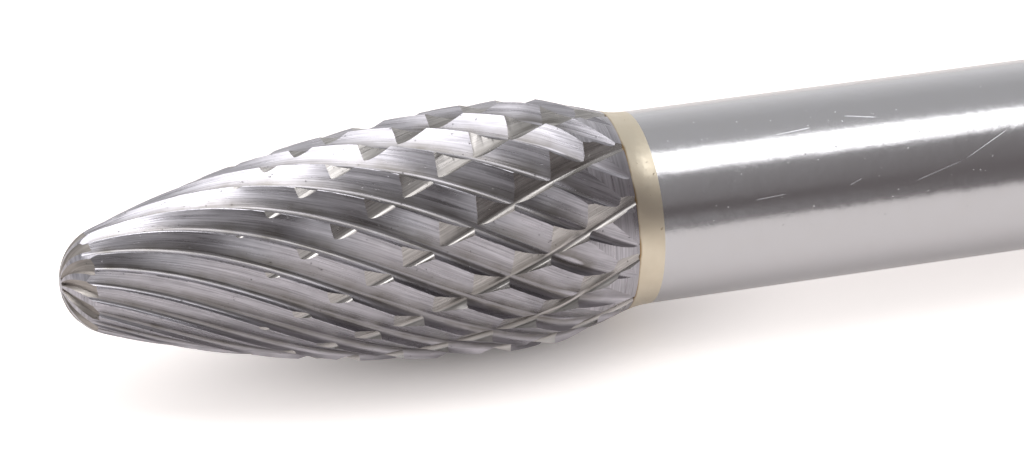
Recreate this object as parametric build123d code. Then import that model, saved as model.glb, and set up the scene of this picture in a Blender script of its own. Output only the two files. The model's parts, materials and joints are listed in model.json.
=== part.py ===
from build123d import *
import math
import os

os.makedirs("parts", exist_ok=True)

# Carbide burr, flame shape, on a 6 mm shank. Millimetres.
# It is worked out in its own frame first: the axis is X, the nose tip is at x = 0 and the free
# end of the shank is at the far end of X. Angles turn about +X and start from +Y.

# Outline of the head
HEAD_D = 7.72            # across the cutting edges at the widest point
HEAD_L = 17.15           # nose tip to the braze
WIDEST_X = 14.2          # where the head is widest
NOSE_R = 1.7             # radius of the rounded nose
SHOULDER_R = 4.0         # radius that turns the widest point into the back cone
BACK_ANGLE = 17.5        # slope of the back cone, degrees

# Braze and shank
BRAZE_L = 0.85           # thickness of the braze layer
SHANK_D = 6.0
SHANK_L = 45.0
END_CHAMFER = 0.5

# Flutes: right-hand helix with a constant lead
FLUTES = 19
FLUTE_LEAD = 43.9        # length of axis for one whole turn
FLUTE_PHASE = 149.5      # angle of the first cutting edge at the widest point, degrees
BACK_SLOPE = 25.5        # slope of a tooth's back where it leaves the cutting edge, degrees
RAKE_LEAN = 14.0         # lean of the rake face away from the radial line, degrees
GULLET_R = 0.075         # radius of the round gullet, as a share of the local radius
GULLET_STRIPS = 3        # flat strips that make the round gullet
LAND_STOCK = 0.012       # height ground off the crests, which leaves the narrow lands
RUNOUT_R = 3.0           # the flutes leave the widest point on this radius
RUNOUT_ANGLE = 10.0      # and run out along the back cone at this slope, degrees

# Chip breakers: left-hand helix with a constant helix angle
BREAKERS = 11
BREAKER_ANGLE = 23.7     # helix angle, degrees
BREAKER_PHASE = 131.5    # angle of the first groove at the widest point, degrees
BREAKER_DEPTH = 0.30     # full depth, reached behind the widest point
BREAKER_START = 4.8      # distance from the tip where the grooves begin
BREAKER_FULL = 15.0      # distance from the tip where they reach full depth
BREAKER_FLANK = 13.0     # slope of the broad flank on the nose side, degrees
BREAKER_WALL = 68.0      # slope of the steep wall on the shank side, degrees
BREAKER_ROOT = 0.18      # radius between flank and wall
ROOT_STRIPS = 2          # flat strips that make the round root

# Nose cuts
NOSE_CUTS = 12
NOSE_DEPTH = 0.13
NOSE_FROM = 10.0         # angle off the axis where the cuts start, degrees
NOSE_TO = 62.0           # and where they end
NOSE_TWIST = 25.0        # how far a cut turns about the axis on the way
NOSE_RIDGE = 0.04        # share of the spacing left between two cuts
NOSE_ROOT = 0.72         # where the bottom of a cut lies across its width

# Cutters reach past the metal, so that they leave it cleanly
OVERCUT = 0.08           # above the surface
OVERRUN = 0.4            # past an end

HEAD_R = HEAD_D / 2
SHANK_R = SHANK_D / 2
JOINT_X = HEAD_L + BRAZE_L
END_X = JOINT_X + SHANK_L


def around(x, r, degrees):
    angle = math.radians(degrees)
    return Vector(x, r * math.cos(angle), r * math.sin(angle))


# The side of the head is one arc from the nose radius to the widest point. It is tangent to the
# nose circle, and level at the widest point.
run = WIDEST_X - NOSE_R
OGIVE_R = (run ** 2 + HEAD_R ** 2 - NOSE_R ** 2) / (2 * (HEAD_R - NOSE_R))
ogive_y = HEAD_R - OGIVE_R
slope = math.atan2(run, -ogive_y)
nose_end_x = NOSE_R - NOSE_R * math.sin(slope)
nose_end_r = NOSE_R * math.cos(slope)
back = math.radians(BACK_ANGLE)
shoulder_x = WIDEST_X + SHOULDER_R * math.sin(back)
shoulder_r = HEAD_R - SHOULDER_R * (1 - math.cos(back))
rear_r = shoulder_r - (HEAD_L - shoulder_x) * math.tan(back)


def side_r(x):
    return ogive_y + math.sqrt(OGIVE_R ** 2 - (WIDEST_X - x) ** 2)


def outline_r(x):
    if x < WIDEST_X:
        return side_r(x)
    if x < shoulder_x:
        return HEAD_R - SHOULDER_R + math.sqrt(SHOULDER_R ** 2 - (x - WIDEST_X) ** 2)
    return shoulder_r - (x - shoulder_x) * math.tan(back)


# Path of the grinding wheel: the side arc, then a gentler slope behind the widest point.
runout = math.radians(RUNOUT_ANGLE)
runout_x = WIDEST_X + RUNOUT_R * math.sin(runout)
runout_r = HEAD_R - RUNOUT_R * (1 - math.cos(runout))


def path_r(x):
    if x < WIDEST_X:
        return side_r(x)
    if x < runout_x:
        return HEAD_R - RUNOUT_R + math.sqrt(RUNOUT_R ** 2 - (x - WIDEST_X) ** 2)
    return runout_r - (x - runout_x) * math.tan(runout)


# Blank of the head: the full outline, turned.
nose_half = (math.pi / 2 - slope) / 2
nose_mid = (NOSE_R - NOSE_R * math.cos(nose_half), NOSE_R * math.sin(nose_half))
side_mid_x = (nose_end_x + WIDEST_X) / 2
shoulder_mid_x = (WIDEST_X + shoulder_x) / 2
nose_arc = ThreePointArc((0, 0), nose_mid, (nose_end_x, nose_end_r))
side_arc = ThreePointArc(nose_arc @ 1, (side_mid_x, side_r(side_mid_x)), (WIDEST_X, HEAD_R))
shoulder_mid = (shoulder_mid_x, outline_r(shoulder_mid_x))
shoulder_arc = ThreePointArc(side_arc @ 1, shoulder_mid, (shoulder_x, shoulder_r))
rear = Polyline(shoulder_arc @ 1, (HEAD_L, rear_r), (HEAD_L, 0), (0, 0))
blank = revolve(make_face([nose_arc, side_arc, shoulder_arc, rear]), Axis.X)

# Section of one tooth, for a radius of 1: a straight back from the cutting edge, a round gullet,
# and the rake face that rises to the next cutting edge.
PITCH = 360 / FLUTES
edge = Vector(1, 0)
next_edge = Vector(1, 0).rotate(Axis.Z, PITCH)
off_back = Vector(1, 0).rotate(Axis.Z, BACK_SLOPE)
off_rake = Vector(1, 0).rotate(Axis.Z, PITCH + RAKE_LEAN - 90)
back_reach = edge.dot(off_back) + GULLET_R
rake_reach = next_edge.dot(off_rake) + GULLET_R
cross = off_back.X * off_rake.Y - off_back.Y * off_rake.X
gullet_x = (back_reach * off_rake.Y - rake_reach * off_back.Y) / cross
gullet_y = (rake_reach * off_back.X - back_reach * off_rake.X) / cross
sweep = PITCH + RAKE_LEAN - 90 - BACK_SLOPE
section = [edge]
for i in range(GULLET_STRIPS + 1):
    spoke = off_back.rotate(Axis.Z, sweep * i / GULLET_STRIPS) * GULLET_R
    section.append(Vector(gullet_x, gullet_y) - spoke)

# Fluted body. A rail runs along each corner of the section, and ruled faces join the rails.
FLUTE_STEPS = 5          # even steps of a rail up to the widest point


def stations(start, steps):
    # Places along the axis where a rail is fixed: even steps up to the widest point, then closer
    # ones over the turn into the runout.
    end = HEAD_L + OVERRUN
    even = [start + (WIDEST_X - start) * i / steps for i in range(steps + 1)]
    over = [(WIDEST_X + runout_x) / 2, runout_x]
    return even + over + [(runout_x + end) / 2, end]


def flute_rail(corner):
    share = corner.length
    turn = math.degrees(math.atan2(corner.Y, corner.X))
    points = []
    for x in stations(-OVERRUN, FLUTE_STEPS):
        angle = FLUTE_PHASE + 360 * (x - WIDEST_X) / FLUTE_LEAD + turn
        points.append(around(x, path_r(x) * share + LAND_STOCK, angle))
    return Edge.make_spline(points)


rails = [flute_rail(corner) for corner in section]
ahead = rails[1:] + [rails[0].rotate(Axis.X, PITCH)]
strips = [Face.make_surface_from_curves(one, two) for one, two in zip(rails, ahead)]
sides = []
for k in range(FLUTES):
    for strip in strips:
        sides.append(strip.rotate(Axis.X, PITCH * k))
for end in (0, 1):
    corners = []
    for k in range(FLUTES):
        for rail in rails:
            corners.append((rail @ end).rotate(Axis.X, PITCH * k))
    sides.append(Face(Wire.make_polygon(corners, close=True)))
fluted = Solid(Shell(sides))
head = blank & fluted


# A cutter is a solid between rails that run side by side, the last one next to the first.
def cutter(rails):
    skin = []
    for one, two in zip(rails, rails[1:] + rails[:1]):
        skin.append(Face.make_surface_from_curves(one, two))
    for end in (0, 1):
        skin.append(Face(Wire.make_polygon([rail @ end for rail in rails], close=True)))
    return Solid(Shell(skin))


# Chip breakers. Each groove has a broad flank towards the nose, a round root and a steep wall
# towards the shank. The first cutter is made here, and the others are turned copies of it.
GROOVE_STEPS = 4         # even steps of a rail up to the widest point
TURN_STEPS = 60          # short steps that add up to the turn of the helix
helix = math.tan(math.radians(BREAKER_ANGLE))
flank = math.tan(math.radians(BREAKER_FLANK))
wall = math.tan(math.radians(BREAKER_WALL))


def groove_depth(x):
    left = max(BREAKER_FULL - x, 0) / (BREAKER_FULL - BREAKER_START)
    return BREAKER_DEPTH * (1 - left ** 2)


def groove_turn(x):
    # Degrees turned since the widest point, adding up short steps of the helix.
    step = (x - WIDEST_X) / TURN_STEPS
    total = 0
    for i in range(TURN_STEPS):
        total += step * helix / path_r(WIDEST_X + step * (i + 0.5))
    return -math.degrees(total)


def groove_rail(lean, side):
    # lean is the slope of the root here, and side is -1 on the flank, 1 on the wall and 0 between
    across = BREAKER_ROOT * math.sin(math.radians(lean))
    rise = BREAKER_ROOT * (1 - math.cos(math.radians(lean)))
    points = []
    for x in stations(BREAKER_START - OVERRUN, GROOVE_STEPS):
        r = path_r(x) - groove_depth(x)
        angle = BREAKER_PHASE + groove_turn(x)
        climb = abs(side) * (outline_r(x) + OVERCUT - r)
        reach = climb / wall if side > 0 else -climb / flank
        points.append(around(x, r + rise + climb, angle) + around(0, across + reach, angle + 90))
    return Edge.make_spline(points)


groove_rails = [groove_rail(-BREAKER_FLANK, -1)]
for i in range(ROOT_STRIPS + 1):
    lean = -BREAKER_FLANK + (BREAKER_WALL + BREAKER_FLANK) * i / ROOT_STRIPS
    groove_rails.append(groove_rail(lean, 0))
groove_rails.append(groove_rail(BREAKER_WALL, 1))
groove = cutter(groove_rails)

# Nose cuts: shallow V grooves that run from the flutes nearly to the tip.
NOSE_STEPS = 6           # even steps of a rail


def nose_rail(lift, turn):
    points = []
    for i in range(NOSE_STEPS + 1):
        share = i / NOSE_STEPS
        off = math.radians(NOSE_FROM + (NOSE_TO - NOSE_FROM) * share)
        r = NOSE_R + lift
        angle = FLUTE_PHASE + NOSE_TWIST * share + 360 / NOSE_CUTS * turn
        points.append(around(NOSE_R - r * math.cos(off), r * math.sin(off), angle))
    return Edge.make_spline(points)


half_ridge = NOSE_RIDGE / 2
first_side = nose_rail(OVERCUT, half_ridge)
last_side = nose_rail(OVERCUT, 1 - half_ridge)
nose_cut = cutter([first_side, nose_rail(-NOSE_DEPTH, NOSE_ROOT), last_side])
cutters = []
for k in range(BREAKERS):
    cutters.append(groove.rotate(Axis.X, 360 / BREAKERS * k))
for k in range(NOSE_CUTS):
    cutters.append(nose_cut.rotate(Axis.X, 360 / NOSE_CUTS * k))
head = head - cutters

# Braze layer: a disc with a hollow rim that eases the cone of the head into the shank.
rim = TangentArc((JOINT_X, SHANK_R), (HEAD_L, rear_r), tangent=(-1, 0))
disc = Polyline((HEAD_L, rear_r), (HEAD_L, 0), (JOINT_X, 0), (JOINT_X, SHANK_R))
braze = revolve(make_face([rim, disc]), Axis.X)

# Shank: a plain ground cylinder with a chamfered free end.
shank = Plane.YZ.offset(JOINT_X) * extrude(Circle(SHANK_R), SHANK_L)
shank = chamfer(shank.edges().group_by(Axis.X)[-1], END_CHAMFER)

# The burr lies on its side: the widest part of the head and the free end of the shank touch the
# ground, so the axis falls slightly towards the shank.
TOUCH_STEPS = 20         # rounds that bring the touching point to rest
touch_x = WIDEST_X
for i in range(TOUCH_STEPS):
    touch_r = HEAD_R - SHOULDER_R + math.sqrt(SHOULDER_R ** 2 - (touch_x - WIDEST_X) ** 2)
    fall = math.atan((touch_r - SHANK_R) / (END_X - END_CHAMFER - touch_x))
    touch_x = WIDEST_X + SHOULDER_R * math.sin(fall)
pieces = [head, braze, shank]
laid = [piece.rotate(Axis.Y, math.degrees(fall)) for piece in pieces]
box = Compound(laid).bounding_box()
shift = Vector(-box.center().X, -box.center().Y, -box.min.Z)
head, braze, shank = [piece.translate(shift) for piece in laid]

export_step(head, "parts/carbide_head.step")
export_step(braze, "parts/braze_joint.step")
export_step(shank, "parts/shank.step")
print("fall of the axis, degrees:", round(math.degrees(fall), 3))
print("moved by:", round(shift.X, 4), round(shift.Y, 4), round(shift.Z, 4))
print("size:", round(box.size.X, 3), round(box.size.Y, 3), round(box.size.Z, 3))
for name, piece in (("head", head), ("braze", braze), ("shank", shank)):
    print(name, round(piece.volume, 3), "mm3,", len(piece.solids()), "solid")
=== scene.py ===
# %% [markdown]
# # A carbide burr on a white table
# A burr is a small cutting tool for a die grinder. Its head is sintered tungsten carbide. Spiral
# flutes are ground into it one way and shallow chip breakers the other way, so that the long
# cutting edges become rows of short teeth. The head is brazed to a plain steel shank.
#
# The CAD model holds all three pieces with their true shape. This lesson makes a finer copy of
# the toothed head, gives every piece its finish, sets up a small studio and places the camera.

# %% Load the frame
import bpy
import json
import math
import numpy as np
from mathutils import Matrix, Vector, noise

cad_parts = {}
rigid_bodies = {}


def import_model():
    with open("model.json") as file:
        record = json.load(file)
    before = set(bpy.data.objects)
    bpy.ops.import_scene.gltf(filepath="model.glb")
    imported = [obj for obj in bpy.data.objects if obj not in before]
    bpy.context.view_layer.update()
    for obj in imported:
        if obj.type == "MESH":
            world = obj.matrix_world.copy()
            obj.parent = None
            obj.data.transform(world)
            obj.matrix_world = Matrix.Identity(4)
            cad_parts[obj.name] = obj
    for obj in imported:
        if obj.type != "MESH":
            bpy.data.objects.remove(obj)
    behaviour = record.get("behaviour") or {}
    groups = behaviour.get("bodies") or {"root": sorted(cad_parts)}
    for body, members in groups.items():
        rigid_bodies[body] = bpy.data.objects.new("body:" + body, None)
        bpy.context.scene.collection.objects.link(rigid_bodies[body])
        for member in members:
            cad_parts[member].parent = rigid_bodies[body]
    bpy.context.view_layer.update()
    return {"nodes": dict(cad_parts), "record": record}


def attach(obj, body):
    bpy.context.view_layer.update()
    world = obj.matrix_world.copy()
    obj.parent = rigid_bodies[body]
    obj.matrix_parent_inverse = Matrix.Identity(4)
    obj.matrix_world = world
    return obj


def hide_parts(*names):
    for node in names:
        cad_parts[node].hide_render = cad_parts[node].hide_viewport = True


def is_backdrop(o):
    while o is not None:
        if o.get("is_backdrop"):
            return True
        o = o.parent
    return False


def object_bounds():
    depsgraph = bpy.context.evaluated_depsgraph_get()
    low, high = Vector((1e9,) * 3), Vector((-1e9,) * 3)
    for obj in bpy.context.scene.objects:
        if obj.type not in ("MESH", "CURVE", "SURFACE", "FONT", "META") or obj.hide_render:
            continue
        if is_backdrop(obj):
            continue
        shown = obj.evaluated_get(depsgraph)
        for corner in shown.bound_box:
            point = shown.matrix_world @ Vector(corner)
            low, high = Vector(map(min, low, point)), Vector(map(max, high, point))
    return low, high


for old in list(bpy.data.objects):
    bpy.data.objects.remove(old)
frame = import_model()
nodes = frame["nodes"]
for name in sorted(nodes):
    print(name, "has", len(nodes[name].data.polygons), "faces")

# %% [markdown]
# ## The line of the axis
# The burr lies on its side and its axis falls a little towards the shank. The record's one mount
# is the plain shank, and it gives the direction of the axis and the middle of the shank. All
# shaping below is done in the burr's own frame, in millimetres: the nose tip at the origin and
# the axis along X. The matrix `lay_down` then brings a finished mesh to its place.

# %% Axis from the shank's mount
HEAD_L = 17.15           # nose tip to the braze
BRAZE_L = 0.85
SHANK_R = 3.0
MILLIMETRE = 0.001

grip = frame["record"]["mounts"][0]
axis = Vector(grip["axis"]).normalized()
grip_x = HEAD_L + BRAZE_L + grip["dims"]["length_mm"] / 2
tip = Vector(grip["pos_m"]) - axis * grip_x * MILLIMETRE
fall = math.atan2(-axis.z, axis.x)
lay_down = Matrix.Translation(tip) @ Matrix.Rotation(fall, 4, "Y") @ Matrix.Scale(MILLIMETRE, 4)
print("nose tip at", [round(value * 1000, 3) for value in tip], "mm")
print("the axis falls", round(math.degrees(fall), 2), "degrees")

# %% [markdown]
# ## The camera
# The burr is small, so the camera stands close, about 12 cm away, with a long lens. It looks
# down at 32 degrees, from a little to the side of the nose. The shank runs out of the picture.

# %% Camera
CAMERA_PLACE = (-0.04384, -0.09113, 0.06291)
CAMERA_AZIMUTH = -16.125
CAMERA_ELEVATION = 31.98

bpy.ops.object.select_all(action="DESELECT")
look = (math.radians(90 - CAMERA_ELEVATION), 0, math.radians(CAMERA_AZIMUTH))
bpy.ops.object.camera_add(location=CAMERA_PLACE, rotation=look)
camera = bpy.context.object
camera.name = "camera"
camera.data.sensor_width = 36
camera.data.lens = 127.8
camera.data.clip_start = 0.001
bpy.context.scene.camera = camera
print("the camera stands", round(camera.location.length * 1000), "mm from the burr's middle")

# %% [markdown]
# ## The outline of the head
# Seen from the side, the head is a flame: a small round nose, one long arc to the widest point,
# and a short cone down to the braze. `outline_r` gives the radius of that outline at any place
# along the axis. The grinding wheel follows the same arc, but leaves the widest point on a
# gentler slope than the cone, so the flutes run out before they reach the braze. `path_r` is the
# wheel's path.

# %% Outline and wheel path
HEAD_R = 3.86
WIDEST_X = 14.2
NOSE_R = 1.7
SHOULDER_R = 4.0
BACK_ANGLE = math.radians(17.5)
RUNOUT_R = 3.0
RUNOUT_ANGLE = math.radians(10)

run = WIDEST_X - NOSE_R
ogive_r = (run ** 2 + HEAD_R ** 2 - NOSE_R ** 2) / (2 * (HEAD_R - NOSE_R))
slope = math.atan2(run, ogive_r - HEAD_R)
nose_end_x = NOSE_R - NOSE_R * math.sin(slope)


def turned_off(x, bend, angle):
    # Radius behind the widest point: an arc of radius bend, then a straight slope.
    end = bend * math.sin(angle)
    if x < WIDEST_X + end:
        return HEAD_R - bend + math.sqrt(bend ** 2 - (x - WIDEST_X) ** 2)
    return HEAD_R - bend * (1 - math.cos(angle)) - (x - WIDEST_X - end) * math.tan(angle)


def path_r(x):
    if x < WIDEST_X:
        return HEAD_R - ogive_r + math.sqrt(ogive_r ** 2 - (WIDEST_X - x) ** 2)
    return turned_off(x, RUNOUT_R, RUNOUT_ANGLE)


def outline_r(x):
    if x < nose_end_x:
        return math.sqrt(max(0, NOSE_R ** 2 - (NOSE_R - x) ** 2))
    if x < WIDEST_X:
        return path_r(x)
    return turned_off(x, SHOULDER_R, BACK_ANGLE)


def around(x, r, degrees):
    angle = math.radians(degrees)
    return Vector((x, r * math.cos(angle), r * math.sin(angle)))


print("the round nose ends at x =", round(nose_end_x, 3), "mm")

# %% [markdown]
# ## A skin from a grid
# Teeth, grooves and the plain blank are all long bodies with a section that repeats along a
# path. A grid is the right start for each of them: its columns run round the section and its
# rows run along the path. `rolled` adds the grid, moves every point to the place that a function
# gives, joins the first column to the last, closes the two ends and turns the faces outwards.
# Each body carries the material of the wheel that ground it. The cuts below hand that material
# on to the faces that they leave, so every face of the head still knows how it was made.

# %% Rolled bodies
finishes = {}
for name in ("flute_ground", "turned_land", "breaker_ground", "nose_ground"):
    finishes[name] = bpy.data.materials.new(name)


def rolled(name, ring, stations, place, finish):
    bpy.ops.object.select_all(action="DESELECT")
    bpy.ops.mesh.primitive_grid_add(x_subdivisions=ring, y_subdivisions=stations - 1)
    body = bpy.context.object
    body.name = name
    for point in body.data.vertices:
        station, column = divmod(point.index, ring + 1)
        point.co = place(column % ring, station)
    bpy.ops.object.mode_set(mode="EDIT")
    bpy.ops.mesh.select_all(action="SELECT")
    bpy.ops.mesh.remove_doubles(threshold=1e-5)
    bpy.ops.mesh.fill_holes(sides=0)
    bpy.ops.mesh.select_all(action="SELECT")
    bpy.ops.mesh.normals_make_consistent(inside=False)
    bpy.ops.object.mode_set(mode="OBJECT")
    body.data.materials.append(finishes[finish])
    return body


# %% [markdown]
# ## The section of one tooth
# A flute is a notch with two sides. The long back slopes away from one cutting edge, a small
# round gullet turns the corner, and the steep rake face climbs to the next edge. The round is
# where the light gathers into the thin bright lines that run along the head, so it gets a fine
# arc. The section is drawn for a radius of 1 and grows with the wheel's path.

# %% Tooth section
FLUTES = 19
BACK_SLOPE = math.radians(25.5)
RAKE_LEAN = math.radians(21)
GULLET_R = 0.075
BACK_POINTS = 3
GULLET_POINTS = 12

pitch = math.tau / FLUTES
back_normal = BACK_SLOPE
rake_normal = pitch + RAKE_LEAN - math.pi / 2


def spoke(angle, length=1.0):
    return Vector((length * math.cos(angle), length * math.sin(angle)))


back_reach = math.cos(back_normal) + GULLET_R
rake_reach = math.cos(pitch - rake_normal) + GULLET_R
cross = math.sin(rake_normal - back_normal)
gullet = Vector((
    (back_reach * math.sin(rake_normal) - rake_reach * math.sin(back_normal)) / cross,
    (rake_reach * math.cos(back_normal) - back_reach * math.cos(rake_normal)) / cross))
section = []
for i in range(BACK_POINTS):
    back_end = gullet - spoke(back_normal, GULLET_R)
    section.append(Vector((1, 0)).lerp(back_end, i / BACK_POINTS))
for i in range(GULLET_POINTS):
    normal = back_normal + (rake_normal - back_normal) * i / (GULLET_POINTS - 1)
    section.append(gullet - spoke(normal, GULLET_R))
tooth_depth = 1 - min(corner.length for corner in section)
print("a tooth is", round(tooth_depth * HEAD_R, 3), "mm deep at the widest point")

# %% [markdown]
# ## The flutes
# All nineteen teeth wind round the axis with the same lead, to the right. The crests stand a
# hair above the outline, and the blank below trims them to narrow lands. A sintered edge is
# never perfect: the noise dips it here and there, which leaves the small nicks of real carbide.

# %% Fluted body
FLUTE_LEAD = 43.9
FLUTE_PHASE = 149.5
LAND_STOCK = 0.012
OVERRUN = 0.4
FLUTE_STATIONS = 100
NICK_DEPTH = 0.07
NICK_SPACING = 0.45
NICK_SHARE = 0.28


def flute_turn(x):
    return FLUTE_PHASE + 360 * (x - WIDEST_X) / FLUTE_LEAD


def nick(tooth, x):
    wave = noise.noise(Vector((x / NICK_SPACING, tooth * 7.3, 0)))
    return NICK_DEPTH * max(0, wave - NICK_SHARE)


def flute_place(column, station):
    x = -OVERRUN + (HEAD_L + 2 * OVERRUN) * station / (FLUTE_STATIONS - 1)
    tooth, corner = divmod(column, len(section))
    share = section[corner].length
    turn = math.degrees(pitch * tooth + math.atan2(section[corner].y, section[corner].x))
    r = path_r(x) * share + LAND_STOCK
    if corner == 0:
        r -= nick(tooth, x)
    return around(x, r, flute_turn(x) + turn)


head = rolled("toothed_head", FLUTES * len(section), FLUTE_STATIONS, flute_place, "flute_ground")
print("the fluted body has", len(head.data.polygons), "faces")

# %% [markdown]
# ## Trimming with the blank
# The blank is the plain outline, turned on a lathe. What the fluted body and the blank have in
# common is the head with its narrow lands and its round nose. A boolean modifier in exact mode
# finds it, and applying the modifier leaves a plain mesh.

# %% Blank and trim
BLANK_RING = 256
NOSE_ROWS = 24
SIDE_ROWS = 40
SHOULDER_ROWS = 8
SMALLEST_R = 1e-4

shoulder_x = WIDEST_X + SHOULDER_R * math.sin(BACK_ANGLE)
profile = []
for i in range(NOSE_ROWS + 1):
    angle = (math.pi / 2 - slope) * i / NOSE_ROWS
    profile.append((NOSE_R - NOSE_R * math.cos(angle), max(SMALLEST_R, NOSE_R * math.sin(angle))))
for i in range(1, SIDE_ROWS + 1):
    x = nose_end_x + (WIDEST_X - nose_end_x) * i / SIDE_ROWS
    profile.append((x, outline_r(x)))
for i in range(1, SHOULDER_ROWS + 1):
    x = WIDEST_X + (shoulder_x - WIDEST_X) * i / SHOULDER_ROWS
    profile.append((x, outline_r(x)))
profile.append((HEAD_L, outline_r(HEAD_L)))


def blank_place(column, station):
    x, r = profile[station]
    return around(x, r, 360 * column / BLANK_RING)


def cut(tool, operation):
    step = head.modifiers.new("cut", "BOOLEAN")
    step.operation = operation
    step.solver = "EXACT"
    step.material_mode = "TRANSFER"
    step.object = tool
    bpy.context.view_layer.objects.active = head
    bpy.ops.object.modifier_apply(modifier="cut")
    bpy.data.objects.remove(tool)
    print(operation.lower(), "leaves", len(head.data.polygons), "faces")


blank = rolled("blank", BLANK_RING, len(profile), blank_place, "turned_land")
cut(blank, "INTERSECT")

# %% [markdown]
# ## The chip breakers
# Eleven shallow grooves wind the other way and break the long edges into teeth. Each has a broad
# gentle flank towards the nose, a small round root and a steep wall towards the shank. They
# start at nothing on the slim part of the head and grow to their full depth behind the widest
# point. One groove body is made, turned copies of it are joined, and one cut takes them all out.

# %% Groove bodies
BREAKERS = 11
BREAKER_ANGLE = math.radians(23.7)
BREAKER_PHASE = 131.5
BREAKER_DEPTH = 0.30
BREAKER_START = 4.8
BREAKER_FULL = 15.0
BREAKER_FLANK = math.radians(13)
BREAKER_WALL = math.radians(68)
BREAKER_ROOT = 0.18
OVERCUT = 0.08
ROOT_POINTS = 10
BREAKER_STATIONS = 40
TURN_STEPS = 60


def breaker_depth(x):
    left = max(BREAKER_FULL - x, 0) / (BREAKER_FULL - BREAKER_START)
    return BREAKER_DEPTH * (1 - left ** 2)


def breaker_turn(x):
    step = (x - WIDEST_X) / TURN_STEPS
    rate = sum(1 / path_r(WIDEST_X + step * (i + 0.5)) for i in range(TURN_STEPS))
    return BREAKER_PHASE - math.degrees(step * rate * math.tan(BREAKER_ANGLE))


def breaker_place(column, station):
    first_x = BREAKER_START - OVERRUN
    x = first_x + (HEAD_L + OVERRUN - first_x) * station / (BREAKER_STATIONS - 1)
    bottom = path_r(x) - breaker_depth(x)
    top = outline_r(x) + OVERCUT - bottom
    step = min(max(column - 1, 0), ROOT_POINTS - 1)
    lean = -BREAKER_FLANK + (BREAKER_WALL + BREAKER_FLANK) * step / (ROOT_POINTS - 1)
    across = BREAKER_ROOT * math.sin(lean)
    rise = BREAKER_ROOT * (1 - math.cos(lean))
    if column == 0:
        across, rise = across - (top - rise) / math.tan(BREAKER_FLANK), top
    if column == ROOT_POINTS + 1:
        across, rise = across + (top - rise) / math.tan(BREAKER_WALL), top
    turn = breaker_turn(x)
    return around(x, bottom + rise, turn) + around(0, across, turn + 90)


def ring_of(body, count):
    # Joins count copies of a body, evenly turned about the axis, into one object.
    bpy.ops.object.select_all(action="DESELECT")
    body.select_set(True)
    for i in range(1, count):
        copy = body.copy()
        copy.data = body.data.copy()
        copy.data.transform(Matrix.Rotation(math.tau / count * i, 4, "X"))
        bpy.context.collection.objects.link(copy)
        copy.select_set(True)
    bpy.context.view_layer.objects.active = body
    bpy.ops.object.join()
    return body


groove = rolled("groove", ROOT_POINTS + 2, BREAKER_STATIONS, breaker_place, "breaker_ground")
cut(ring_of(groove, BREAKERS), "DIFFERENCE")

# %% [markdown]
# ## The cuts on the nose
# On the round nose the flutes would crowd together, so the grinder takes twelve shallow cuts
# there instead, from near the tip out to where the flutes begin. Neighbouring cuts meet in fine
# ridges. One V-shaped body is made and turned round the nose in the same way as the grooves.

# %% Nose cuts
NOSE_CUTS = 12
NOSE_DEPTH = 0.13
NOSE_FROM = math.radians(10)
NOSE_TO = math.radians(62)
NOSE_TWIST = 25.0
NOSE_RIDGE = 0.04
NOSE_ROOT = 0.72
NOSE_STATIONS = 14

nose_sides = ((OVERCUT, NOSE_RIDGE / 2), (-NOSE_DEPTH, NOSE_ROOT), (OVERCUT, 1 - NOSE_RIDGE / 2))


def nose_place(column, station):
    share = station / (NOSE_STATIONS - 1)
    off = NOSE_FROM + (NOSE_TO - NOSE_FROM) * share
    lift, across = nose_sides[column]
    r = NOSE_R + lift
    turn = FLUTE_PHASE + NOSE_TWIST * share + 360 / NOSE_CUTS * across
    return around(NOSE_R - r * math.cos(off), r * math.sin(off), turn)


nose_cut = rolled("nose_cut", len(nose_sides), NOSE_STATIONS, nose_place, "nose_ground")
cut(ring_of(nose_cut, NOSE_CUTS), "DIFFERENCE")

# %% [markdown]
# ## Lines left by the wheels
# Grinding leaves fine lines along the path of each wheel. A pattern can only follow them if every
# face knows which way its wheel ran, so each face corner stores two numbers that the finishes
# read: how far it lies across the wheel's path and how far along it. A third number tells how
# deep it lies below the outline, from 0 on a cutting edge to 1 at the bottom of a gullet. First,
# points that the cuts left within about a micrometre of each other are welded, so that the skin is
# closed.

# %% Triangles and grain
WELD = 0.0012

bpy.ops.object.mode_set(mode="EDIT")
bpy.ops.mesh.select_all(action="SELECT")
bpy.ops.mesh.remove_doubles(threshold=WELD)
bpy.ops.mesh.quads_convert_to_tris()
bpy.ops.mesh.select_all(action="SELECT")
bpy.ops.mesh.remove_doubles(threshold=WELD)
bpy.ops.object.mode_set(mode="OBJECT")
mesh = head.data
made_by = [slot.name for slot in mesh.materials]


def read(items, field, width, kind):
    values = np.empty(len(items) * width, kind)
    items.foreach_get(field, values)
    return values.reshape(-1, width) if width > 1 else values


points = read(mesh.vertices, "co", 3, np.float32).astype(float)
corner_point = read(mesh.loops, "vertex_index", 1, np.int32)
face_finish = read(mesh.polygons, "material_index", 1, np.int32)
corners = points[corner_point]
middles = corners.reshape(-1, 3, 3).mean(axis=1)
corner_finish = np.repeat(face_finish, 3)

samples = np.linspace(-OVERRUN, HEAD_L + OVERRUN, 400)
path_table = np.array([path_r(x) for x in samples])
outline_table = np.array([outline_r(x) for x in samples])
breaker_table = np.array([breaker_turn(x) for x in samples])


def along(table, x):
    return np.interp(x, samples, table)


def angle_of(place):
    return np.degrees(np.arctan2(place[:, 2], place[:, 1]))


def from_edge(place, turn, spacing):
    # Degrees from the nearest of the evenly spaced lines that turn gives, and which line it is.
    off = angle_of(place) - turn(place[:, 0])
    line = np.round(off / spacing)
    return off - line * spacing, line


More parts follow.
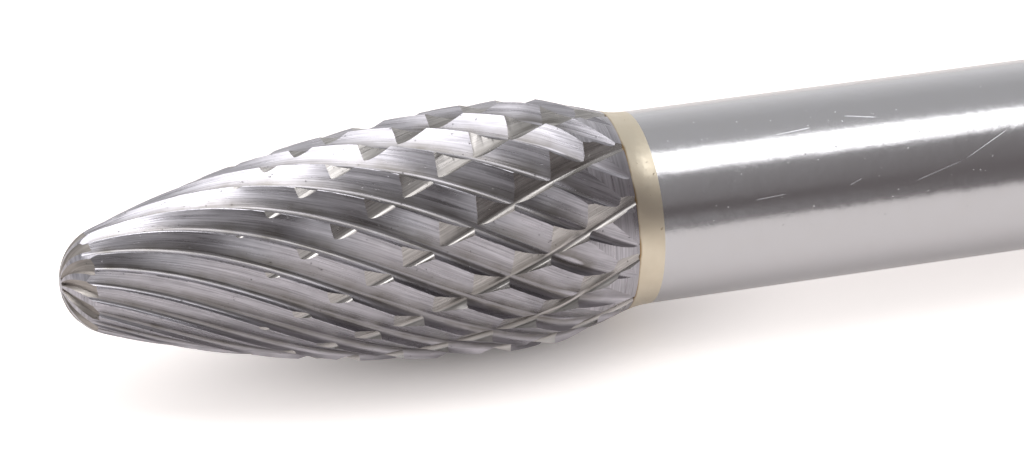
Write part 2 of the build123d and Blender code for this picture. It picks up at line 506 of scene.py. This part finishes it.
def across_path(turn, spacing):
    middle_off, line = from_edge(middles, turn, spacing)
    middle_off = np.repeat(middle_off, 3)
    off = angle_of(corners) - turn(corners[:, 0]) - np.repeat(line, 3) * spacing
    off = (off - middle_off + 180) % 360 - 180 + middle_off
    return off / spacing, np.repeat(line % round(360 / spacing), 3)


radius = np.hypot(corners[:, 1], corners[:, 2])
wheel_r = along(path_table, corners[:, 0])
depth = (along(outline_table, corners[:, 0]) - radius) / (tooth_depth * wheel_r)
grain = np.zeros((len(corners), 3))
turns = {
    "flute_ground": (flute_turn, 360 / FLUTES, 1.28),
    "breaker_ground": (lambda x: along(breaker_table, x), 360 / BREAKERS, 2.2),
    "nose_ground": (lambda x: FLUTE_PHASE + NOSE_TWIST * x / NOSE_R, 360 / NOSE_CUTS, 0.6)}
for finish, (turn, spacing, width) in turns.items():
    share, line = across_path(turn, spacing)
    mine = corner_finish == made_by.index(finish)
    grain[mine, 0] = (share * width + line * 9)[mine]
    grain[mine, 1] = (corners[:, 0] * 1.15 + line * 3)[mine]
mine = corner_finish == made_by.index("turned_land")
grain[mine, 0] = corners[mine, 0]
grain[mine, 1] = np.radians(angle_of(corners) % 360)[mine] * 3
layer = mesh.attributes.new("grain", "FLOAT_VECTOR", "CORNER")
layer.data.foreach_set("vector", grain.astype(np.float32).ravel())
layer = mesh.attributes.new("depth", "FLOAT", "CORNER")
layer.data.foreach_set("value", depth.astype(np.float32))
for index, finish in enumerate(made_by):
    print(finish, "has", int((face_finish == index).sum()), "faces")

# %% [markdown]
# ## Crisp edges, smooth rounds
# Shading smooths the round gullets, but an edge between two wheels' work must stay crisp, even
# where the two faces differ by only a few degrees. Steep edges are found by their angle, and the
# others are marked because their two faces carry different materials. Then the head is laid in
# its place, and it replaces the CAD head.

# %% Edges and place
CREASE = math.radians(28)

mesh.transform(lay_down)
bpy.ops.object.select_all(action="DESELECT")
head.select_set(True)
bpy.context.view_layer.objects.active = head
bpy.ops.object.shade_smooth_by_angle(angle=CREASE)
corner_edge = read(mesh.loops, "edge_index", 1, np.int32)
low = np.full(len(mesh.edges), 99)
high = np.full(len(mesh.edges), -1)
uses = np.zeros(len(mesh.edges), int)
np.minimum.at(low, corner_edge, corner_finish)
np.maximum.at(high, corner_edge, corner_finish)
np.add.at(uses, corner_edge, 1)
sharp = mesh.attributes["sharp_edge"]
crisp = read(sharp.data, "value", 1, bool) | (low != high)
sharp.data.foreach_set("value", crisp)
mesh.update()
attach(head, "root")
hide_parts("carbide_head")
print("triangles:", len(mesh.polygons), "open edges:", int((uses != 2).sum()))
print("crisp edges:", int(crisp.sum()))

# %% [markdown]
# ## Helpers for materials
# A finish is a small tree of nodes round one Principled shader. `step` adds a node, sets its
# values and plugs its inputs, so that each finish below reads from top to bottom like a recipe.

# %% Node helpers
def start_finish(material):
    material.use_nodes = True
    tree = material.node_tree
    shader = tree.nodes["Principled BSDF"]
    shader.inputs["Metallic"].default_value = 1
    return tree, shader


def step(tree, kind, inputs=(), **settings):
    node = tree.nodes.new(kind)
    for key, value in settings.items():
        setattr(node, key, value)
    for socket, value in dict(inputs).items():
        if isinstance(value, bpy.types.NodeSocket):
            tree.links.new(value, node.inputs[socket])
        else:
            node.inputs[socket].default_value = value
    return node.outputs[0]


def maths(tree, operation, first, second=0.0):
    return step(tree, "ShaderNodeMath", {0: first, 1: second}, operation=operation)


def spread(tree, value, low, high, to_low=0.0, to_high=1.0):
    inputs = {"Value": value, "From Min": low, "From Max": high,
              "To Min": to_low, "To Max": to_high}
    return step(tree, "ShaderNodeMapRange", inputs)


def blend(tree, share, first, second, kind="MIX"):
    node = tree.nodes.new("ShaderNodeMix")
    node.data_type = "RGBA"
    node.blend_type = kind
    for index, value in ((0, share), (6, first), (7, second)):
        socket = node.inputs[index]
        if isinstance(value, bpy.types.NodeSocket):
            tree.links.new(value, socket)
        else:
            socket.default_value = value
    return node.outputs[2]


def noise_of(tree, vector, scale, detail=2.0):
    inputs = {"Vector": vector, "Scale": scale, "Detail": detail}
    return step(tree, "ShaderNodeTexNoise", inputs)


def stretched(tree, vector, scales):
    return step(tree, "ShaderNodeMapping", {"Vector": vector, "Scale": scales})


def burr_frame(tree):
    # Object coordinates, brought to the burr's own frame in millimetres.
    coords = tree.nodes.new("ShaderNodeTexCoord").outputs["Object"]
    inputs = {"Vector": coords, "Location": tip, "Rotation": (0, fall, 0),
              "Scale": [MILLIMETRE] * 3}
    return step(tree, "ShaderNodeMapping", inputs, vector_type="TEXTURE")


def bump(tree, height, micrometres):
    inputs = {"Height": height, "Distance": micrometres * 1e-6, "Strength": 1.0}
    return step(tree, "ShaderNodeBump", inputs)


# %% [markdown]
# ## Ground carbide
# Tungsten carbide is a dense grey metal, darker than steel. Each wheel leaves its own lines: the
# pattern is a noise that changes quickly across the wheel's path and hardly at all along it. The
# lines are a fine relief, which spreads the reflections sideways, and they also change the grey a
# little. Towards the gullets the grey turns darker and brown: partly a real tarnish, partly painted
# shade for the dark gullets. The very bottom is left out, as the rim of the wheel keeps it clean.
# Small pits are scattered everywhere.

# %% Carbide finishes
CARBIDE = (0.455, 0.44, 0.475, 1)
# The brown of the gullets: partly a real tarnish, partly painted shade.
TARNISH_AND_SHADE = (0.14, 0.128, 0.115, 1)
FINE_LINES = (17, 0.5, 1)
BROAD_LINES = (4.5, 0.3, 1)
FINE_SHARE = 0.65


def ground_carbide(name, relief, roughness, tarnish_shade_from, tarnish_shade_to, tone):
    tree, shader = start_finish(finishes[name])
    grain = step(tree, "ShaderNodeAttribute", attribute_name="grain").node.outputs["Vector"]
    depth = step(tree, "ShaderNodeAttribute", attribute_name="depth").node.outputs["Fac"]
    fine = noise_of(tree, stretched(tree, grain, FINE_LINES), 1, 3)
    broad = noise_of(tree, stretched(tree, grain, BROAD_LINES), 1, 2)
    place = burr_frame(tree)
    patches = noise_of(tree, place, 1.3, 3)
    pits = spread(tree, noise_of(tree, place, 9, 1), 0.27, 0.20)
    lines = maths(tree, "ADD", maths(tree, "MULTIPLY", fine, FINE_SHARE),
                  maths(tree, "MULTIPLY", broad, 1 - FINE_SHARE))
    shade = spread(tree, lines, 0.32, 0.68, 0.58, 1.24)
    shade = maths(tree, "MULTIPLY", shade, spread(tree, patches, 0.3, 0.7, 0.88, 1.1))
    shade = maths(tree, "MULTIPLY", shade, spread(tree, pits, 0, 1, 1, 0.55))
    shade = step(tree, "ShaderNodeCombineColor", {0: shade, 1: shade, 2: shade})
    grey = blend(tree, 1.0, tone, shade, "MULTIPLY")
    # Darker and browner with depth towards the gullets: partly a real tarnish, partly painted
    # shade. The very bottom is left out.
    tarnish_and_shade = spread(tree, maths(tree, "ADD", depth, spread(tree, patches, 0.3, 0.7, -0.15, 0.15)),
                   tarnish_shade_from, tarnish_shade_to)
    tarnish_and_shade = maths(tree, "MULTIPLY", tarnish_and_shade, spread(tree, depth, 0.99, 0.93))
    color = blend(tree, tarnish_and_shade, grey, TARNISH_AND_SHADE)
    tree.links.new(color, shader.inputs["Base Color"])
    rough = spread(tree, broad, 0.3, 0.7, roughness - 0.06, roughness + 0.08)
    tree.links.new(rough, shader.inputs["Roughness"])
    height = maths(tree, "SUBTRACT", lines, maths(tree, "MULTIPLY", pits, 1.5))
    tree.links.new(bump(tree, height, relief), shader.inputs["Normal"])


ground_carbide("flute_ground", 5.0, 0.29, 0.50, 1.12, CARBIDE)
ground_carbide("breaker_ground", 3.5, 0.27, 0.6, 1.2, (0.45, 0.43, 0.42, 1))
ground_carbide("nose_ground", 4.0, 0.48, 0.9, 3.0, (0.38, 0.35, 0.33, 1))
ground_carbide("turned_land", 2.0, 0.30, 0.6, 1.4, CARBIDE)
print("carbide finishes:", ", ".join(finishes))

# %% [markdown]
# ## Braze
# The braze is a silver alloy of a pale gold. It was ground flush with a soft wheel, so it looks
# creamy beside the polished shank. It has a few round gas pits, and a thin brown line of burnt
# flux where it meets the carbide.

# %% Braze finish
BRAZE = (0.70, 0.63, 0.51, 1)
BURNT = (0.30, 0.20, 0.10, 1)
FLUX_LINE = 0.07

finishes["braze"] = bpy.data.materials.new("silver_braze")
tree, shader = start_finish(finishes["braze"])
place = burr_frame(tree)
x_place = step(tree, "ShaderNodeSeparateXYZ", {0: place})
patches = noise_of(tree, place, 1.6, 3)
edge = maths(tree, "ADD", x_place, spread(tree, patches, 0.3, 0.7, -0.03, 0.03))
burnt = spread(tree, edge, HEAD_L + FLUX_LINE, HEAD_L)
gas = spread(tree, noise_of(tree, place, 6.5, 1), 0.26, 0.20)
color = blend(tree, spread(tree, patches, 0.35, 0.7, 0, 0.35), BRAZE, (0.60, 0.52, 0.40, 1))
color = blend(tree, burnt, color, BURNT)
color = blend(tree, maths(tree, "MULTIPLY", gas, 0.5), color, BURNT)
tree.links.new(color, shader.inputs["Base Color"])
tree.links.new(spread(tree, patches, 0.3, 0.7, 0.34, 0.44), shader.inputs["Roughness"])
height = maths(tree, "SUBTRACT", noise_of(tree, place, 5, 3), maths(tree, "MULTIPLY", gas, 2.0))
tree.links.new(bump(tree, height, 6.0), shader.inputs["Normal"])
print("braze finish set")

# %% [markdown]
# ## Polished steel, lightly used
# The shank was ground round and polished. Close up, its surface has a slight orange-peel swell,
# tiny pits, and scratches from handling. The scratches are rougher and dented, and their colour is
# painted lighter and bluish, a painted glint of the lamp. A scratch is drawn as a thin line in the
# unrolled surface: one axis runs along the shank and the other round it, in millimetres, starting
# from the top. The unrolled surface is cut open along the underside, where nobody sees the seam.

# %% Steel finish
STEEL = (0.555, 0.55, 0.57, 1)
SCRATCHES = (
    ((26.1, -3.38), (27.85, -2.9), 0.022),
    ((27.8, -2.92), (29.4, -2.15), 0.016),
    ((20.9, -3.28), (22.0, -3.22), 0.018),
    ((24.0, -3.22), (24.45, -3.05), 0.016),
    ((24.3, -0.9), (25.4, -1.15), 0.03),
    ((22.0, -1.3), (23.2, -1.2), 0.02))

finishes["steel"] = bpy.data.materials.new("polished_steel")
tree, shader = start_finish(finishes["steel"])
place = burr_frame(tree)
split = step(tree, "ShaderNodeSeparateXYZ", {0: place}).node
x_place = split.outputs["X"]
roll = maths(tree, "ARCTAN2", split.outputs["Y"], split.outputs["Z"])
roll = maths(tree, "MULTIPLY", roll, SHANK_R)


def scratch(start, end, width):
    # 1 on a thin line from start to end in the unrolled surface, 0 elsewhere.
    length = math.hypot(end[0] - start[0], end[1] - start[1])
    ahead = ((end[0] - start[0]) / length, (end[1] - start[1]) / length)
    from_x = maths(tree, "SUBTRACT", x_place, start[0])
    from_roll = maths(tree, "SUBTRACT", roll, start[1])
    along_it = maths(tree, "ADD", maths(tree, "MULTIPLY", from_x, ahead[0]),
                     maths(tree, "MULTIPLY", from_roll, ahead[1]))
    beside = maths(tree, "SUBTRACT", maths(tree, "MULTIPLY", from_x, ahead[1]),
                   maths(tree, "MULTIPLY", from_roll, ahead[0]))
    off_middle = maths(tree, "ABSOLUTE", maths(tree, "SUBTRACT", along_it, length / 2))
    line = spread(tree, maths(tree, "ABSOLUTE", beside), width, width / 3)
    return maths(tree, "MULTIPLY", line, spread(tree, off_middle, length / 2, length / 3))


scratch_and_glint = 0.0
for start, end, width in SCRATCHES:
    scratch_and_glint = maths(tree, "MAXIMUM", scratch(start, end, width), scratch_and_glint)
swell = noise_of(tree, place, 1.4, 4)
grit = noise_of(tree, stretched(tree, place, (30, 6, 6)), 1, 2)
specks = spread(tree, noise_of(tree, place, 8, 1), 0.245, 0.19)
color = blend(tree, spread(tree, swell, 0.35, 0.7, 0, 0.12), STEEL, (0.50, 0.48, 0.47, 1))
# The scratches are painted lighter and bluish: a painted glint of the lamp. Their extra roughness
# and dents are the real scratch.
color = blend(tree, maths(tree, "MULTIPLY", scratch_and_glint, 0.35), color, (0.8, 0.8, 0.88, 1))
tree.links.new(color, shader.inputs["Base Color"])
rough = maths(tree, "ADD", spread(tree, grit, 0.3, 0.7, 0.15, 0.20),
              maths(tree, "MULTIPLY", scratch_and_glint, 0.2))
tree.links.new(rough, shader.inputs["Roughness"])
height = maths(tree, "ADD", swell, maths(tree, "MULTIPLY", grit, 0.06))
height = maths(tree, "SUBTRACT", height, maths(tree, "MULTIPLY", specks, 0.5))
height = maths(tree, "SUBTRACT", height, maths(tree, "MULTIPLY", scratch_and_glint, 0.3))
tree.links.new(bump(tree, height, 9.0), shader.inputs["Normal"])
wears = {"carbide_head": "flute_ground", "braze_joint": "braze", "shank": "steel"}
for name, finish in wears.items():
    for slot in nodes[name].material_slots:
        slot.material = finishes[finish]
print("steel finish has", len(SCRATCHES), "scratches")

# %% [markdown]
# ## The table
# The burr lies on a white table. The table is lit so brightly that it turns plain white away from
# the burr, while the shadow under the burr stays visible and soft. A little white light of its own,
# seen only by the camera and in the metal, lifts the table to that white without putting more light
# on the burr. The same lift would wash out the shadow where the head touches down, so it fades in a
# soft oval patch under the head: a painted shadow, which the metal reflects too. The patch is set
# and stays where it is.

# %% Table
TABLE_SIZE = 4
TABLE_WHITE = (0.86, 0.82, 0.80, 1)
TABLE_LIFT = (0.63, 0.60, 0.59, 1)
LIFT_IN_METAL = 0.45
PAINTED_SHADOW_X = -0.0185
PAINTED_SHADOW_REACH = (0.0115, 0.0044)
PAINTED_SHADOW_GLOW = 0.10

bpy.ops.object.select_all(action="DESELECT")
bpy.ops.mesh.primitive_plane_add(size=TABLE_SIZE)
table = bpy.context.object
table.name = "table"
material = bpy.data.materials.new("white_table")
tree, shader = start_finish(material)
shader.inputs["Metallic"].default_value = 0
shader.inputs["Base Color"].default_value = TABLE_WHITE
shader.inputs["Roughness"].default_value = 0.9
shader.inputs["Specular IOR Level"].default_value = 0


def seen_directly(tree, in_metal=1.0):
    # 1 for rays from the camera, in_metal for reflections and glass, 0 for light on other things.
    path = tree.nodes.new("ShaderNodeLightPath").outputs
    bounced = maths(tree, "MAXIMUM", path["Is Glossy Ray"], path["Is Transmission Ray"])
    return maths(tree, "MAXIMUM", path["Is Camera Ray"], maths(tree, "MULTIPLY", bounced, in_metal))


shader.inputs["Emission Color"].default_value = TABLE_LIFT
# A soft oval patch under the head where the lift fades: a painted shadow, seen by the camera and in
# the metal.
place = tree.nodes.new("ShaderNodeTexCoord").outputs["Object"]
place = step(tree, "ShaderNodeVectorMath", {0: place, 1: (PAINTED_SHADOW_X, 0, 0)}, operation="SUBTRACT")
place = step(tree, "ShaderNodeVectorMath", {0: place, 1: (*PAINTED_SHADOW_REACH, 1)}, operation="DIVIDE")
away = step(tree, "ShaderNodeVectorMath", {0: place}, operation="LENGTH").node.outputs["Value"]
glow = step(tree, "ShaderNodeMapRange", {"Value": away, "To Min": PAINTED_SHADOW_GLOW},
            interpolation_type="SMOOTHSTEP")
glow = maths(tree, "MULTIPLY", seen_directly(tree, LIFT_IN_METAL), glow)
tree.links.new(glow, shader.inputs["Emission Strength"])
table.data.materials.append(material)
table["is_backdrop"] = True
print("the table is", TABLE_SIZE, "m wide")

# %% [markdown]
# ## The softbox
# One long soft light hangs above the burr and makes the white band on the shank and the white
# facets on top of the head. It runs from the right front to the left back. Its size decides how
# wide the band is, so it is placed by the angles at which the metal should see it.

# %% Softbox
STUDIO_TURN = math.radians(-25)
LAMP_HEIGHT = 0.30
LAMP_RIGHT = 0.17
LAMP_LEFT = -0.42
LAMP_WIDTH = 0.131
LAMP_TILT = math.radians(89.3)
LAMP_STRENGTH = 2.35

lamp_length = LAMP_RIGHT - LAMP_LEFT
sideways = Vector((math.cos(STUDIO_TURN), math.sin(STUDIO_TURN), 0))
forwards = Vector((math.sin(STUDIO_TURN), -math.cos(STUDIO_TURN), 0))
lamp_place = sideways * (LAMP_RIGHT + LAMP_LEFT) / 2 + forwards * math.cos(LAMP_TILT) * LAMP_HEIGHT
lamp_place.z = math.sin(LAMP_TILT) * LAMP_HEIGHT
bpy.ops.object.light_add(type="AREA", location=lamp_place,
                         rotation=(math.pi / 2 - LAMP_TILT, 0, STUDIO_TURN))
lamp = bpy.context.object
lamp.name = "softbox"
lamp.data.shape = "RECTANGLE"
lamp.data.size = lamp_length
lamp.data.size_y = LAMP_WIDTH
lamp.data.energy = LAMP_STRENGTH * math.pi * lamp_length * LAMP_WIDTH
lamp.visible_camera = False
print("the softbox is", round(lamp_length * 100), "by", round(LAMP_WIDTH * 100), "cm")

# %% [markdown]
# ## A second light behind on the left
# The facets on top of the head face back and to the left, past the end of the softbox. A smaller
# square light stands there for them to mirror. It is for reflections only, so it is hidden from
# diffuse rays, and it casts no second shadow on the table.

# %% Second light
WINDOW_AZIMUTH = math.radians(-145)
WINDOW_HEIGHT = math.radians(55)
WINDOW_AWAY = 0.35
WINDOW_SIZE = 0.24
WINDOW_STRENGTH = 2.2

away = math.cos(WINDOW_HEIGHT) * WINDOW_AWAY
window_place = (math.sin(WINDOW_AZIMUTH) * away, -math.cos(WINDOW_AZIMUTH) * away,
                math.sin(WINDOW_HEIGHT) * WINDOW_AWAY)
bpy.ops.object.light_add(type="AREA", location=window_place,
                         rotation=(math.pi / 2 - WINDOW_HEIGHT, 0, WINDOW_AZIMUTH))
window = bpy.context.object
window.name = "window"
window.data.size = WINDOW_SIZE
window.data.energy = WINDOW_STRENGTH * math.pi * WINDOW_SIZE ** 2
window.visible_camera = False
window.visible_diffuse = False
print("the second light is", round(WINDOW_SIZE * 100), "cm square")

# %% [markdown]
# ## The dim room round it
# Metal shows what is round it. A dome stands for the room: it is seen only in reflections, and
# lights nothing. It is dark towards the front, where the dark band on the shank comes from, dim
# on the right, and pale behind and near the table. Its pattern follows the angle round the
# softbox's long axis, and fades to one plain grey at each end of that axis.

# %% Room dome
DOME_R = 0.6
DOME_TONES = ((0, 1.0), (15, 0.85), (20, 0.25), (24, 0.05), (29, 0.05), (33, 0.16), (37, 0.42),
              (48, 0.46), (76, 0.45), (103, 0.58), (135, 0.60), (152, 0.75), (168, 0.92))
WARM = (1.0, 0.86, 0.84)
RIGHT_TONE = (0.22, 0.20, 0.20, 1)
LEFT_TONE = (0.60, 0.60, 0.61, 1)

bpy.ops.object.select_all(action="DESELECT")
bpy.ops.mesh.primitive_uv_sphere_add(segments=64, ring_count=32, radius=DOME_R)
dome = bpy.context.object
dome.name = "room_dome"
bpy.ops.object.mode_set(mode="EDIT")
bpy.ops.mesh.select_all(action="SELECT")
bpy.ops.mesh.bisect(plane_co=(0, 0, 0), plane_no=(0, 0, 1), clear_inner=True)
bpy.ops.object.mode_set(mode="OBJECT")
material = bpy.data.materials.new("dim_room")
material.use_nodes = True
tree = material.node_tree
tree.nodes.clear()
coords = tree.nodes.new("ShaderNodeTexCoord").outputs["Object"]
turned = step(tree, "ShaderNodeMapping", {"Vector": coords, "Rotation": (0, 0, -STUDIO_TURN)})
turned = step(tree, "ShaderNodeVectorMath", {0: turned}, operation="NORMALIZE")
split = step(tree, "ShaderNodeSeparateXYZ", {0: turned}).node.outputs
front = maths(tree, "MULTIPLY", split["Y"], -1.0)
round_axis = maths(tree, "ARCTAN2", split["Z"], front)
share = spread(tree, round_axis, 0, math.pi)
ramp = tree.nodes.new("ShaderNodeValToRGB")
tree.links.new(share, ramp.inputs[0])
while len(ramp.color_ramp.elements) < len(DOME_TONES):
    ramp.color_ramp.elements.new(0.5)
for stop, (angle, tone) in zip(ramp.color_ramp.elements, DOME_TONES):
    warmth = min(1, max(0, (0.5 - tone) / 0.35))
    stop.position = angle / 180
    stop.color = [tone * (1 - warmth + warmth * tint) for tint in WARM] + [1]
color = blend(tree, spread(tree, split["X"], 0.40, 0.70), ramp.outputs[0], RIGHT_TONE)
color = blend(tree, spread(tree, split["X"], -0.55, -0.85), color, LEFT_TONE)
glow = step(tree, "ShaderNodeEmission", {"Color": color, "Strength": 1.0})
output = tree.nodes.new("ShaderNodeOutputMaterial")
tree.links.new(glow, output.inputs["Surface"])
dome.data.materials.append(material)
dome.visible_camera = False
dome.visible_diffuse = False
dome.visible_shadow = False
dome.visible_transmission = False
dome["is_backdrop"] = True
print("the dome has", len(DOME_TONES), "tones")

# %% [markdown]
# ## The world
# The background is plain white for the camera. For everything that it lights it is dimmer, so
# that together with the softbox a colour renders about as it is written.

# %% World
SKY_LIGHT = 0.5

world = bpy.data.worlds.new("white_room")
bpy.context.scene.world = world
world.use_nodes = True
tree = world.node_tree
background = tree.nodes["Background"]
background.inputs["Color"].default_value = (1, 1, 1, 1)
strength = spread(tree, seen_directly(tree), 0, 1, SKY_LIGHT, 1.0)
tree.links.new(strength, background.inputs["Strength"])
bpy.context.scene.view_settings.view_transform = "Standard"
print("light from the sky:", SKY_LIGHT)

# %% Sizes
low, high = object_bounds()
print("size in mm:", [round((b - a) * 1000, 2) for a, b in zip(low, high)])
